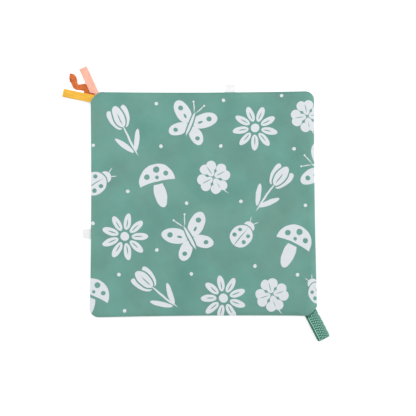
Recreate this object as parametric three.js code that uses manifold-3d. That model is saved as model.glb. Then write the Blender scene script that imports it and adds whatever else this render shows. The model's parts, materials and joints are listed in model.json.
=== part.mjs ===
// Crinkle panel for a baby: two square cloth covers sewn edge to edge with crinkle film between them,
// two ribbon tags and a wavy trim tag sewn into one corner, a webbing loop in the opposite corner, and a
// label tab in two of the sides. Millimetres, +Z up. The panel lies on its back cover, and the origin is
// the middle of that cover's underside.
import * as THREE from "three";
import { mergeVertices } from "three/addons/utils/BufferGeometryUtils.js";
import Module from "manifold-3d";

const wasm = await Module();
wasm.setup();

// Driving dimensions of the panel
const PANEL_SIDE = 300;
const SIDE_DRAW_IN = 1.2; // how far the middle of each side is drawn in by the seam
const PLAIN_CORNER = 14; // reach of a plain corner along each of its sides
const PLAIN_FULLNESS = Math.SQRT1_2; // conic weight: a quarter circle
const TAG_CORNER = 15; // reach of a corner that holds tags
const TAG_FULLNESS = 0.37; // conic weight: flatter than a quarter circle
const CROWN = 1.2; // rise of the front cover's middle above its rolled edge
const CROWN_RUN = 55; // distance from the edge over which it rises
const CROWN_RINGS = [1, 0.62, 0.33, 0.14]; // where its rings lie, as shares of that distance
const CLOTH = 0.5;
const FILM = 0.2;
const HEM = 8; // seam allowance turned in
const SEAM_GAP = 0.3; // between the two covers where they are sewn
const PLY_GAP = 0.3; // least air between a film and the cloth beside it
const FILM_EDGE = 1.0; // from the panel's edge to the film's

// Driving dimensions of the tags
const TAPE_GAP = 0.2; // between the two plies of a folded tag at its root
const LEVEL_GAP = 0.2; // between tags that lie on each other
const TAIL_GAP = 0.2; // round a sewn-in tail in its slot
const FLEX_GAP = 0.3; // between a tag and what it bends against
const REST_GAP = 0.1; // between a lying tag and the surface under the panel
const PART_GAP = 0.6; // between the two ribbons where they part
const LEAST_ROOT = 3.6; // shortest edge of a ribbon's root, from the panel to where the ribbon flexes

// angle: degrees from the corner's outward line. offset: place along the corner's edge. settle and open:
// the stretch, as shares of the length, over which the tag comes down to the surface and its plies part.
// drift: how far the fold of the tag carries its lower ply sideways. waveStart: where the wave is at its full
// height, from the root.
const RUST_TRIM = {
  width: 7.5, tape: 0.25, angle: 5.9, offset: 1.9, length: 42.2, fold: 1.2,
  settle: [0, 0.15], open: [0.5, 0.95], waveLength: 23.5, waveHeight: 3.55, waveCrest: 2.9, waveStart: 12.5,
};
const PINK_RIBBON = {
  width: 10.5, tape: 0.25, angle: -20.3, offset: -1.6, length: 35.2, fold: 1.3,
  settle: [0.42, 0.85], open: [0.1, 0.8],
};
const YELLOW_RIBBON = {
  width: 10.5, tape: 0.25, angle: 32.6, offset: 4.95, length: 30.9, fold: 1.3,
  settle: [0.08, 0.6], open: [0.1, 0.8],
};
const WEBBING = {
  width: 15, tape: 1.1, angle: -18.5, offset: -2.65, length: 36, fold: 3.4,
  settle: [0, 0.22], open: [0.06, 0.36], drift: 2.2,
};
const LABEL = { width: 12, tape: 0.25, length: 10.5, settle: [0, 0.85] };
const LEFT_LABEL_AT = -39.7; // up the left side from its middle
const TOP_LABEL_AT = 37.4; // along the top side from its middle

// Fineness of the facets
const CORNER_STEPS = 6;
const SIDE_STEPS = 5;
const FOLD_STEPS = 4;
const PLY_STEPS = 14;
const WAVE_STEPS = 26;
const TIP_STEPS = 6;
const HEADING_STEP = 0.1; // half of the stretch over which a tape's heading is taken

// Heights that follow from the driving dimensions
const half = PANEL_SIDE / 2;
const pairOf = (tag) => 2 * tag.tape + TAPE_GAP;
const cornerTags = [RUST_TRIM, PINK_RIBBON, YELLOW_RIBBON]; // from the lowest to the highest
const stack = cornerTags.reduce((sum, tag) => sum + pairOf(tag), 2 * LEVEL_GAP);
const slotHalf = Math.max(stack, pairOf(WEBBING), 2 * LABEL.tape) / 2 + TAIL_GAP;
const coverHeight = CLOTH + Math.max(slotHalf - SEAM_GAP / 2, CLOTH + FILM + 2 * PLY_GAP);
const seamZ = coverHeight + SEAM_GAP / 2;
const rollRadius = coverHeight / 2;

const radians = THREE.MathUtils.degToRad;
const smoothstep = THREE.MathUtils.smoothstep;
const mix = THREE.MathUtils.lerp;

// A closed geometry with its faces turned outwards.
function closedGeometry(points, triangles) {
  const volume = triangles.reduce((sum, [a, b, c]) => {
    return sum + points[a].dot(new THREE.Vector3().crossVectors(points[b], points[c]));
  }, 0);
  const turned = volume < 0 ? triangles.map(([a, b, c]) => [a, c, b]) : triangles;
  return new THREE.BufferGeometry().setFromPoints(points).setIndex(turned.flat());
}

// A skin through rings of equally many points. A ring of one point is a pole, and closed joins last to first.
function loft(rings, closed = false) {
  const points = [];
  const starts = rings.map((ring) => points.push(...ring) - ring.length);
  const triangles = [];
  const joins = closed ? rings.length : rings.length - 1;
  for (let r = 0; r < joins; r++) {
    const next = (r + 1) % rings.length;
    const count = Math.max(rings[r].length, rings[next].length);
    const index = (ring, i) => starts[ring] + (i % rings[ring].length);
    for (let i = 0; i < count; i++) {
      if (rings[r].length > 1) triangles.push([index(r, i), index(r, i + 1), index(next, i)]);
      if (rings[next].length > 1) triangles.push([index(r, i + 1), index(next, i + 1), index(next, i)]);
    }
  }
  return closedGeometry(points, triangles);
}

// Boolean cuts
function solidOf(geometry) {
  const bare = geometry.clone();
  bare.deleteAttribute("normal");
  bare.deleteAttribute("uv");
  const merged = mergeVertices(bare);
  return new wasm.Manifold(
    new wasm.Mesh({
      numProp: 3,
      vertProperties: new Float32Array(merged.attributes.position.array),
      triVerts: new Uint32Array(merged.index.array),
    }),
  );
}

function geometryOf(solid) {
  const mesh = solid.getMesh();
  return new THREE.BufferGeometry()
    .setAttribute("position", new THREE.BufferAttribute(mesh.vertProperties, 3))
    .setIndex(new THREE.BufferAttribute(mesh.triVerts, 1));
}

function cut(geometry, cutters) {
  return geometryOf(cutters.reduce((left, cutter) => left.subtract(solidOf(cutter)), solidOf(geometry)));
}

// Outline of the panel: corner (1, 1) is top right, and the corners on the other diagonal are plain.
function holdsTags(sx, sy) {
  return sx !== sy;
}

function drawnIn(x, y) {
  const straight = half - PLAIN_CORNER;
  const pull = (along) => 1 - (SIDE_DRAW_IN / half) * Math.max(0, 1 - (along / straight) ** 2);
  return new THREE.Vector3(x * pull(y), y * pull(x), 0);
}

// A point of a corner's conic, from its horizontal side at t = 0 to its vertical side at t = 1.
function cornerPoint(sx, sy, t) {
  const reach = holdsTags(sx, sy) ? TAG_CORNER : PLAIN_CORNER;
  const fullness = holdsTags(sx, sy) ? TAG_FULLNESS : PLAIN_FULLNESS;
  const weights = [(1 - t) ** 2, 2 * fullness * t * (1 - t), t ** 2];
  const total = weights.reduce((sum, w) => sum + w);
  const x = half - (weights[0] * reach) / total;
  const y = half - (weights[2] * reach) / total;
  return drawnIn(sx * x, sy * y);
}

function outline() {
  const points = [];
  const corners = [[1, 1], [-1, 1], [-1, -1], [1, -1]];
  corners.forEach(([sx, sy], c) => {
    const rising = sx === sy; // going round, this corner starts on its vertical side
    for (let i = 0; i <= CORNER_STEPS; i++) {
      const t = i / CORNER_STEPS;
      points.push(cornerPoint(sx, sy, rising ? 1 - t : t));
    }
    const [nx, ny] = corners[(c + 1) % corners.length];
    const from = points[points.length - 1];
    const to = cornerPoint(nx, ny, nx === ny ? 1 : 0);
    for (let i = 1; i < SIDE_STEPS; i++) {
      const along = new THREE.Vector3().lerpVectors(from, to, i / SIDE_STEPS);
      points.push(sx === nx ? drawnIn(sx * half, along.y) : drawnIn(along.x, sy * half));
    }
  });
  return points;
}

const panelOutline = outline();

// A ring of the outline at a distance inside the edge, or the pole in the middle.
function ring(inset, z) {
  const share = 1 - inset / half;
  if (share <= 0) return [new THREE.Vector3(0, 0, z)];
  return panelOutline.map((p) => new THREE.Vector3(p.x * share, p.y * share, z));
}

function crownAt(inset, crown) {
  return crown * Math.sin((Math.PI / 2) * Math.min(1, inset / CROWN_RUN));
}

// Insets of the rings of a cover or film, from the middle of the panel to its edge.
const faceInsets = [half, ...CROWN_RINGS.map((share) => share * CROWN_RUN)];

// One cover: its face, the rolled edge, and the hem turned in behind it. side is 1 above the seam, -1 below.
function coverGeometry(side, crown) {
  const low = SEAM_GAP / 2;
  const high = low + coverHeight;
  const roll = (radius) =>
    Array.from({ length: FOLD_STEPS + 1 }, (_, i) => {
      const turn = Math.PI * (0.5 - i / FOLD_STEPS);
      return [rollRadius - radius * Math.cos(turn), low + rollRadius + radius * Math.sin(turn)];
    });
  const face = (drop) => faceInsets.map((inset) => [inset, high - drop + crownAt(inset, crown)]);
  const profile = [
    ...face(0),
    ...roll(rollRadius),
    [HEM, low],
    [HEM, low + CLOTH],
    ...roll(rollRadius - CLOTH).reverse(),
    ...face(CLOTH).reverse(),
  ];
  return loft(profile.map(([inset, z]) => ring(inset, seamZ + side * z)));
}

// One film, which follows its cover into the rolled edge.
function filmGeometry(side, crown) {
  const middle = SEAM_GAP / 2 + rollRadius;
  const rise = coverHeight - CLOTH - PLY_GAP - FILM / 2 - rollRadius; // towards the cover, off the edge
  const at = (inset) => {
    return middle + Math.min(rise, inset) * smoothstep(inset, FILM_EDGE, HEM) + crownAt(inset, crown);
  };
  const insets = [...faceInsets, HEM / 2, FILM_EDGE];
  const top = insets.map((inset) => [inset, at(inset) + FILM / 2]);
  const bottom = insets.map((inset) => [inset, at(inset) - FILM / 2]).reverse();
  return loft([...top, ...bottom].map(([inset, z]) => ring(inset, seamZ + side * z)));
}

// A tape of rectangular section through points. Its width lies level, across its heading at each of them.
function tapeGeometry(points, headings, width, thickness) {
  const sections = points.map((at, i) => {
    const before = points[Math.max(0, i - 1)];
    const after = points[Math.min(points.length - 1, i + 1)];
    const along = new THREE.Vector3().subVectors(after, before);
    const across = new THREE.Vector3(-headings[i].y, headings[i].x, 0);
    const inward = new THREE.Vector3().crossVectors(along, across).normalize();
    const corner = (a, b) =>
      at.clone().addScaledVector(across, (a * width) / 2).addScaledVector(inward, (b * thickness) / 2);
    return [corner(1, 1), corner(1, -1), corner(-1, -1), corner(-1, 1)];
  });
  const middle = (section) => [new THREE.Vector3().addVectors(section[0], section[2]).multiplyScalar(0.5)];
  return loft([middle(sections[0]), ...sections, middle(sections[sections.length - 1])]);
}

// Sideways place of a tag's tape at a distance from its root.
function waveAt(tag, x) {
  if (!tag.waveHeight) return 0;
  const wave = Math.cos((2 * Math.PI * (x - tag.waveCrest)) / tag.waveLength);
  return tag.waveHeight * wave * smoothstep(x, 0, tag.waveStart); // straight where it is sewn in
}

function headingAt(tag, x) {
  const [before, after] = [x - HEADING_STEP, x + HEADING_STEP];
  return new THREE.Vector3(after - before, waveAt(tag, after) - waveAt(tag, before), 0).normalize();
}

// A tag folded double, from its flex line at the origin along +X, above a surface that is height below.
function loopGeometry(tag, height, start) {
  const { tape, fold, length } = tag;
  const turn = length - fold;
  const apart = (x) => mix(tape + TAPE_GAP, 2 * fold - tape, smoothstep(x / length, ...tag.open));
  const rest = REST_GAP - height + tape / 2;
  const lowZ = (x) => mix(-(tape + TAPE_GAP) / 2, rest, smoothstep(x / length, ...tag.settle));
  const steps = tag.waveHeight ? WAVE_STEPS : PLY_STEPS;
  const xs = Array.from({ length: steps + 1 }, (_, i) => mix(start, turn, i / steps));
  const points = xs.map((x) => new THREE.Vector3(x, waveAt(tag, x), lowZ(x)));
  const headings = xs.map((x) => headingAt(tag, x));
  const radius = apart(turn) / 2;
  const end = points[steps];
  for (let i = 1; i < TIP_STEPS; i++) {
    const angle = -Math.PI / 2 + (Math.PI * i) / TIP_STEPS;
    const round = end.clone().addScaledVector(headings[steps], radius * Math.cos(angle));
    points.push(round.setZ(end.z + radius * (1 + Math.sin(angle))));
    headings.push(headings[steps]);
  }
  xs.reverse().forEach((x) => {
    points.push(new THREE.Vector3(x, waveAt(tag, x), lowZ(x) + apart(x)));
    headings.push(headingAt(tag, x));
  });
  if (tag.drift) {
    points.forEach((p, i) => {
      p.y -= tag.drift * (1 - smoothstep(i, steps, steps + TIP_STEPS)); // carried over along the fold
    });
  }
  return tapeGeometry(points, headings, tag.width, tape);
}

// A tag whose flex line isn't square to it: its root is sheared to that line, and its tip stays square.
function skewRoot(geometry, angle, length) {
  const position = geometry.getAttribute("position");
  for (let i = 0; i < position.count; i++) {
    const share = 1 - position.getX(i) / length;
    position.setX(i, position.getX(i) + position.getY(i) * Math.tan(radians(angle)) * share);
  }
  return geometry;
}

// A flat piece of a plan outline, from one height to another.
function plateGeometry(corners, bottom, top) {
  const shape = new THREE.Shape(corners.map(([x, y]) => new THREE.Vector2(x, y)));
  const solid = new THREE.ExtrudeGeometry(shape, { depth: top - bottom, bevelEnabled: false });
  return solid.translate(0, 0, bottom);
}

// Where a tag's middle line crosses a line parallel to the panel's edge, x outside it.
function middleAt(tag, x) {
  return tag.offset + x * Math.tan(radians(tag.angle));
}

// The tag's two edges on such a line.
function edgesAt(tag, x) {
  const reach = tag.width / 2 / Math.cos(radians(tag.angle));
  const middle = middleAt(tag, x);
  return [middle - reach - (tag.drift ?? 0), middle + reach];
}

// The end of a tag that is sewn into the seam, level with the panel's edge.
function tailGeometry(tag, level, thickness) {
  const [outerLow, outerHigh] = edgesAt(tag, 0);
  const [innerLow, innerHigh] = edgesAt(tag, -HEM);
  const corners = [[0, outerLow], [0, outerHigh], [-HEM, innerHigh], [-HEM, innerLow]];
  return plateGeometry(corners, level - thickness / 2, level + thickness / 2);
}

// The notch in the edge, hems and films that takes the tails of some tags.
function slotGeometry(tags, placement) {
  const edges = tags.flatMap((tag) => [...edgesAt(tag, 0), ...edgesAt(tag, -HEM)]);
  const low = Math.min(...edges) - TAIL_GAP;
  const high = Math.max(...edges) + TAIL_GAP;
  const depth = HEM + TAIL_GAP;
  const reach = TAG_CORNER; // past the edge everywhere along the slot
  return new THREE.BoxGeometry(depth + reach, high - low, 2 * slotHalf)
    .translate((reach - depth) / 2, (low + high) / 2, 0)
    .applyMatrix4(placement.matrixWorld);
}

// A place on the edge: x points out of the panel there, and z is at the seam.
function edgePlace(point, degrees) {
  const place = new THREE.Group();
  place.position.set(point.x, point.y, seamZ);
  place.rotation.z = radians(degrees);
  place.updateMatrixWorld(true);
  return place;
}

function material(color, roughness) {
  return new THREE.MeshStandardMaterial({ color, roughness, metalness: 0 });
}

const materials = {
  frontCloth: material(0x6e9e92, 0.85),
  backCloth: material(0x6e9e92, 0.85),
  film: material(0xe8eef0, 0.25),
  pink: material(0xfcbea8, 0.6),
  rust: material(0xd7783e, 0.7),
  yellow: material(0xf6be4c, 0.6),
  webbing: material(0x69978b, 0.8),
  label: material(0xf4f4f4, 0.6),
};

function named(name, geometry, finish) {
  const mesh = new THREE.Mesh(geometry, finish);
  mesh.name = name;
  return mesh;
}

// A flex line: what is added to it bends with the tag.
function flexLine(name, x, y, z, degrees) {
  const pivot = new THREE.Group();
  pivot.name = name;
  pivot.position.set(x, y, z);
  pivot.rotation.z = radians(degrees);
  return pivot;
}

const tagCorner = edgePlace(cornerPoint(-1, 1, 0.5), 135);
const loopCorner = edgePlace(cornerPoint(1, -1, 0.5), -45);
const leftSide = edgePlace(drawnIn(-half, LEFT_LABEL_AT), 180);
const topSide = edgePlace(drawnIn(TOP_LABEL_AT, half), 90);
const labelTag = { ...LABEL, angle: 0, offset: 0 };

// Ribbon tags and trim in the top left corner. They flex together along the edge, because the trim lies under
// both ribbons, and each ribbon also flexes by itself where the two have parted.
function addCornerTags() {
  const levels = cornerTags.map((tag, i) => {
    const below = cornerTags.slice(0, i).reduce((sum, other) => sum + pairOf(other) + LEVEL_GAP, 0);
    return below + pairOf(tag) / 2 - stack / 2;
  });
  const names = ["rust_trim", "pink_ribbon", "yellow_ribbon"];
  const finishes = [materials.rust, materials.pink, materials.yellow];
  const axisX = stack / 2 + FLEX_GAP;
  const together = flexLine("corner_tags_flex", axisX, 0, 0, 0);
  tagCorner.add(together);
  cornerTags.forEach((tag, i) => {
    tagCorner.add(named(`${names[i]}_tail`, tailGeometry(tag, levels[i], pairOf(tag)), finishes[i]));
  });

  const trim = loopGeometry(RUST_TRIM, seamZ + levels[0], FLEX_GAP - axisX);
  const trimTurn = flexLine("rust_trim_line", 0, middleAt(RUST_TRIM, axisX), levels[0], RUST_TRIM.angle);
  trimTurn.add(named("rust_trim_loop", skewRoot(trim, RUST_TRIM.angle, RUST_TRIM.length), materials.rust));
  together.add(trimTurn);

  // The ribbons part where the inner edges of the two cross.
  const spread = Math.tan(radians(YELLOW_RIBBON.angle)) - Math.tan(radians(PINK_RIBBON.angle));
  const shared = edgesAt(PINK_RIBBON, 0)[1] - edgesAt(YELLOW_RIBBON, 0)[0];
  const partX = (shared + PART_GAP) / spread;
  [1, 2].forEach((i) => {
    const tag = cornerTags[i];
    const pair = pairOf(tag);
    const lean = radians(tag.angle);
    const reach = Math.abs(levels[i]) + pair / 2; // of the root's inner end from the shared flex line
    const innerX = axisX - Math.sqrt((axisX - TAIL_GAP / 2) ** 2 - reach ** 2);
    const back = new THREE.Vector2(Math.cos(lean), Math.sin(lean)).multiplyScalar(pair / 2 + FLEX_GAP);
    const side = new THREE.Vector2(-Math.sin(lean), Math.cos(lean)).multiplyScalar(tag.width / 2);
    const hingeX = Math.max(partX - Math.abs(side.x), innerX + LEAST_ROOT + back.x + Math.abs(side.x));
    const hinge = new THREE.Vector2(hingeX, middleAt(tag, hingeX));
    const outer = hinge.clone().sub(back);
    const [innerLow, innerHigh] = edgesAt(tag, innerX);
    const corners = [
      [innerX, innerLow],
      [outer.x - side.x, outer.y - side.y],
      [outer.x + side.x, outer.y + side.y],
      [innerX, innerHigh],
    ].map(([x, y]) => [x - axisX, y]);
    const root = plateGeometry(corners, levels[i] - pair / 2, levels[i] + pair / 2);
    together.add(named(`${names[i]}_root`, root, finishes[i]));

    const line = flexLine(`${names[i]}_flex`, hinge.x - axisX, hinge.y, levels[i], tag.angle);
    line.add(named(`${names[i]}_loop`, loopGeometry(tag, seamZ + levels[i], -TAPE_GAP / 2), finishes[i]));
    together.add(line);
  });
}

// Webbing loop in the bottom right corner.
function addWebbingLoop() {
  const pair = pairOf(WEBBING);
  const axisX = pair / 2 + FLEX_GAP;
  loopCorner.add(named("webbing_tail", tailGeometry(WEBBING, 0, pair), materials.webbing));
  const flex = flexLine("webbing_flex", axisX, middleAt(WEBBING, axisX), 0, WEBBING.angle);
  const rootBack = Math.sqrt((axisX - TAIL_GAP / 2) ** 2 - (pair / 2) ** 2); // behind the flex line
  const loop = loopGeometry(WEBBING, seamZ, -rootBack);
  flex.add(named("webbing_loop", skewRoot(loop, WEBBING.angle, WEBBING.length), materials.webbing));
  loopCorner.add(flex);
}

// A label tab: its two plies are pressed flat, so it is one leaf that comes down to the surface.
function addLabel(place, name) {
  const thickness = 2 * LABEL.tape;
  const axisX = thickness / 2 + FLEX_GAP;
  place.add(named(`${name}_tail`, tailGeometry(labelTag, 0, thickness), materials.label));
  const xs = Array.from({ length: PLY_STEPS + 1 }, (_, i) => mix(-TAPE_GAP / 2, LABEL.length, i / PLY_STEPS));
  const points = xs.map((x) => {
    const z = mix(0, REST_GAP + thickness / 2 - seamZ, smoothstep(x / LABEL.length, ...LABEL.settle));
    return new THREE.Vector3(x, 0, z);
  });
  const flex = flexLine(`${name}_flex`, axisX, 0, 0, 0);
  const headings = points.map(() => new THREE.Vector3(1, 0, 0));
  flex.add(named(`${name}_tab`, tapeGeometry(points, headings, LABEL.width, thickness), materials.label));
  place.add(flex);
}

function addPanel(group) {
  const slots = [
    slotGeometry(cornerTags, tagCorner),
    slotGeometry([WEBBING], loopCorner),
    slotGeometry([labelTag], leftSide),
    slotGeometry([labelTag], topSide),
  ];
  group.add(named("front_cover", cut(coverGeometry(1, CROWN), slots), materials.frontCloth));
  group.add(named("back_cover", cut(coverGeometry(-1, 0), slots), materials.backCloth));
  group.add(named("crinkle_film_front", cut(filmGeometry(1, CROWN), slots), materials.film));
  group.add(named("crinkle_film_back", cut(filmGeometry(-1, 0), slots), materials.film));
}

const panel = new THREE.Group();
addPanel(panel);
addCornerTags();
addWebbingLoop();
addLabel(leftSide, "left_label");
addLabel(topSide, "top_label");
panel.add(tagCorner, loopCorner, leftSide, topSide);

export default panel;
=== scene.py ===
"""Crinkle panel for a baby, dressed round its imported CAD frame.

Two cloth covers with turned-in hems, the front one printed, crumpled films between them, the seam's thread,
three folded tags in one corner, a webbing loop in the opposite one, and a label tab in two sides.
Metres, in the frame of the CAD model: the panel lies on its back cover, whose underside is at z = 0.
"""
import json
import math

import bpy
import numpy as np
from bpy.props import FloatProperty, FloatVectorProperty, PointerProperty
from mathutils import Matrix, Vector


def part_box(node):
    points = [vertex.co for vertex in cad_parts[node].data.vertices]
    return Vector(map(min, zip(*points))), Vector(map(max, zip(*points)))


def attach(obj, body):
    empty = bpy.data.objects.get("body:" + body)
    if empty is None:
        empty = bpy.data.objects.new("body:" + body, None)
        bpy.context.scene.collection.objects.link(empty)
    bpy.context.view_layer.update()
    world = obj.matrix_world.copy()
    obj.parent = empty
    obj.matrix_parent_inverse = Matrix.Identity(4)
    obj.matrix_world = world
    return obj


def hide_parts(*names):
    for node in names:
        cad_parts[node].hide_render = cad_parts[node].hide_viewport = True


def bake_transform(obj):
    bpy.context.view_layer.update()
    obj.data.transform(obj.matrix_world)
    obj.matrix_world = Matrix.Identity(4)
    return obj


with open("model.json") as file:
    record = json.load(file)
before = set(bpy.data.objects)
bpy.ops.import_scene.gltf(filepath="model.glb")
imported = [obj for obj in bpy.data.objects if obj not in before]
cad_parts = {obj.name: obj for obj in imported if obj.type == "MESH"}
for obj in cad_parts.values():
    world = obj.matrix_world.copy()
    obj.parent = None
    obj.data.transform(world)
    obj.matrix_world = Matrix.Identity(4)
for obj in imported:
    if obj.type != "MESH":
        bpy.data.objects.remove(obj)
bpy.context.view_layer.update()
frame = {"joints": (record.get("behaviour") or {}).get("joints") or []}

bl_info = {
    "name": "Crinkle Panel",
    "version": (1, 0, 0),
    "blender": (4, 5, 0),
    "location": "View3D > Sidebar > Crinkle Panel",
    "description": "Dresses a square crinkle cloth with ribbon tags and a webbing loop round its CAD frame",
    "category": "Add Mesh",
}

MM = 0.001
UP = np.array([0.0, 0.0, 1.0])


class Place:
    """A point, with the ways out and sideways from it, both level with the panel."""

    def __init__(self, point, outwards):
        self.point = np.array(point)
        self.outwards = np.array([outwards[0], outwards[1], 0.0])
        self.sideways = np.array([-outwards[1], outwards[0], 0.0])

    def turned(self, degrees):
        angle = math.radians(degrees)
        return Place(self.point, math.cos(angle) * self.outwards + math.sin(angle) * self.sideways)

    def moved(self, sideways, up):
        return Place(self.point + self.sideways * sideways + UP * up, self.outwards)

    def world(self, x, y, z):
        return self.point + x[..., None] * self.outwards + y[..., None] * self.sideways + z[..., None] * UP


# Each tag's flex point, and the way in which the tag points from there
FLEX = {
    joint["name"]: Place(joint["pos_m"], (-joint["axis"][1], joint["axis"][0])) for joint in frame["joints"]
}
CORNER_FLEX = FLEX["corner_tags_flex"]

# The covers: their outline, crown, rolled edge and hem
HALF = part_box("front_cover")[1].x
SEAM_Z = CORNER_FLEX.point[2]
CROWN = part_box("front_cover")[1].z - 2 * SEAM_Z
CROWN_RUN = 55 * MM
DRAW_IN = 1.2 * MM
PLAIN_CORNER = 11.5 * MM
PLAIN_FULLNESS = math.sqrt(0.5)
TAG_CORNER = 15 * MM
TAG_FULLNESS = 0.37
ROLL = 0.9 * MM
ROLL_STEPS = 8
HEM = 8 * MM
HEM_RINGS = [1.9 * MM, 3.2 * MM, 4.8 * MM, 6.4 * MM, HEM]
GRID_FIRST_STEP = 0.8 * MM
GRID_LAST_STEP = 2 * MM
GRID_GROWTH = 1.12

# How far inside the edge each relief of a cover, and the painted highlight and shade along its edges, start
# or end
RIDGE_RISE = (0, 2.5 * MM)
RIDGE_END = (6.5 * MM, 13 * MM)
GATHER_RUN = 9 * MM
SWAY_START = (8 * MM, 45 * MM)
FALL_RUN = 9 * MM
EDGE_LIGHT_RUN = 11 * MM
EDGE_SHADE_RUN = 4.5 * MM
BESIDE = (0.94 * HALF, 0.99 * HALF)
BACK_LIFT = 0.5  # share of the front cover's relief that the back cover, pressed on its support, has

# The seam: half its height where it is closed and where tags are sewn in, and the stretch that they hold open
CLOSED_SEAM = 0.03 * MM
CORNER_STACK = 1.30 * MM
WEBBING_PAIR = 1.27 * MM
LABEL_PAIR = 0.30 * MM
OPENING_DEPTH = (16 * MM, 26 * MM)
OPENING_FADE = 4.5 * MM

# The films: distance inside the edge, more of it where tags are sewn in, and distance under the cover's face
FILM_INSET = 2.5 * MM
FILM_CLEARING = 7.5 * MM
FILM_DEPTH = 0.62 * MM

# The stitches: rungs in the seam, with heights in millimetres and shares of the radius at their levels
RUNG_PITCH = 2.6 * MM
RUNG_RADIUS = 0.11 * MM
RUNG_DEPTH = 0.5 * MM
RUNG_LEAN = 0.5
RUNG_SIDES = 6
RUNG_LEVELS = [(-0.34, 0.35), (-0.26, 0.9), (0.0, 1.0), (0.26, 0.9), (0.34, 0.35)]
RUNG_FREE = 0.02  # share of an opening below which the seam has rungs
OUTLINE_POINTS = 4001  # on each side of the panel, to measure distances along its edge

# Gaps in and round the folded tags: between plies, over the surface, and from a flex line to the panel's edge
TAPE_GAP = 0.2 * MM
REST_GAP = 0.1 * MM
EDGE_GAP = 0.3 * MM
CORNER_GAP = CORNER_STACK + 0.25 * MM

# The tags: points across and along each, and the stretch that bends before and after its flex line
RIBBON_COLUMNS = 19
RIBBON_STEP = 0.7 * MM
TRIM_COLUMNS = 15
TRIM_STEP = 0.6 * MM
WEB_COLUMNS = 41
WEB_STEP = 0.32 * MM
LABEL_COLUMNS = 17
LABEL_ROWS = 48
TIP_POINTS = 9
BEND_HALF = 1.5 * MM

# Shapes of single tags
CUP = 0.05 * MM
CUP_START = (0, 8 * MM)
DENT_START = 0.9
DENT_REACH = 0.16
PINK_DENT = 0.5 * MM
YELLOW_DENT = 0.15 * MM
PLEAT = 0.3 * MM
PLEATS = 3
CREVICE = 2.4 * MM  # seen between the yellow ribbon and the gathered root of the pink one
GATHER_START = (-3 * MM, -0.5 * MM)  # stretch inside the panel's edge over which it gathers
LEAST_REACH = 0.03
TRIM_OFFSET = 1.9 * MM
TRIM_LEVEL = -0.9 * MM
TRIM_RUN_END = (16 * MM, 24 * MM)
TRIM_LOWER_START = (1 * MM, 7 * MM)
TRIM_LOWER_SHIFT = 1.6 * MM
TRIM_UPPER_SHIFT = 1.5 * MM
TRIM_TIP_SHIFT = 3.6 * MM
TRIM_TIP = (0.87, 0.10)  # middle and reach of the tip's shift, as shares of the trim's length
WEB_DRIFT = 2.2 * MM
WEB_WALES = 4
WEB_SELVEDGE = 1.5 * MM
WEB_GROOVE = 0.5 * MM  # half the width of the groove beside a selvedge
WEB_NICK = 0.5 * MM
# stretch about the flex line over which a painted shadow lies where the webbing comes out from under the
# panel's edge
WEB_MOUTH_SHADE = (-0.9 * MM, 0.7 * MM)
LABEL_HALF = 0.13 * MM  # half the distance between the plies of a label tab

# The print: how soft its edges are and how unsteady its lines
INK_SOFTNESS = 0.35 * MM
INK_WOBBLE = 2.2 * MM

# The stage, with each lamp's name, place, side and watts
WHITE = (1.0, 1.0, 1.0, 1.0)
FLOOR_REACH = 6.0
FLOOR_Z = -0.15 * MM
LAMPS = [("key softbox", (2.4, 0.6, 1.5), 2.6, 55.0), ("fill softbox", (-1.2, 0.6, 0.85), 0.9, 10.0)]
CAMERA_PLACE = (-4.77 * MM, -68.70 * MM, 1.0)
CAMERA_TURN = (0.0622, -0.0108, -0.0063)
CAMERA_LENS = 64.99

SHARP_EDGE = math.radians(50)  # from which two faces meet in a crease


def from_screen(red, green, blue):
    """Linear colour of an 8-bit screen colour."""
    shares = (channel / 255 for channel in (red, green, blue))
    return tuple(s / 12.92 if s <= 0.04045 else ((s + 0.055) / 1.055) ** 2.4 for s in shares)


def size_property(description, millimetres):
    default = millimetres * MM
    return FloatProperty(description=description, default=default, min=0.0, precision=5, unit="LENGTH")


def share_property(description, default):
    return FloatProperty(description=description, default=default, min=0.0, subtype="FACTOR")


def colour_property(description, screen):
    default = from_screen(*screen)
    return FloatVectorProperty(description=description, default=default, min=0.0, max=1.0, subtype="COLOR")


class CoverSettings(bpy.types.PropertyGroup):
    cloth: size_property("Thickness of the covers' cloth", 0.3)
    ridge: size_property("Rise of a cover over the hem that lies under it", 0.14)
    fall: size_property("Fall of the front cover towards its sewn edge", 1.1)
    pucker: size_property("Height of the gathers along the seam", 0.3)
    sway: size_property("Height of the soft waves in the middle of a cover", 0.45)
    thread: size_property("Distance between the threads of the weave", 0.42)
    ground: colour_property("Colour of the dyed cloth", (104, 158, 146))
    faded: colour_property("Colour of the cloth where its dye has faded", (113, 158, 146))
    ink: colour_property("Colour of the printed motifs", (229, 233, 238))


class FilmSettings(bpy.types.PropertyGroup):
    film: size_property("Thickness of the crinkle film", 0.05)
    crumple: size_property("Height of the film's creases", 0.3)
    tint: colour_property("Colour of the film", (232, 238, 240))


class RibbonSettings(bpy.types.PropertyGroup):
    selvedge: size_property("Extra thickness of a ribbon's woven edges", 0.08)
    pink: colour_property("Colour of the upright ribbon", (247, 184, 161))
    yellow: colour_property("Colour of the sideways ribbon", (239, 183, 62))


class TrimSettings(bpy.types.PropertyGroup):
    braid: size_property("Distance between the strands of its braid", 1.9)
    rust: colour_property("Colour of the wavy trim", (209, 108, 52))


class WebbingSettings(bpy.types.PropertyGroup):
    tape: size_property("Thickness of the webbing without its ribs", 0.8)
    rib: size_property("Height of its woven ribs", 0.3)
    pitch: size_property("Distance between ribs along the webbing", 3.6)
    yarn: colour_property("Colour of the webbing's yarn", (130, 184, 168))


class LabelSettings(bpy.types.PropertyGroup):
    tape: size_property("Thickness of one ply of a label tab", 0.21)
    white: colour_property("Colour of the label tabs", (244, 244, 245))


class StageSettings(bpy.types.PropertyGroup):
    lamp: share_property("Strength of the lamps", 1.0)
    sky: share_property("Strength of the light from all round", 0.55)


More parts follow.
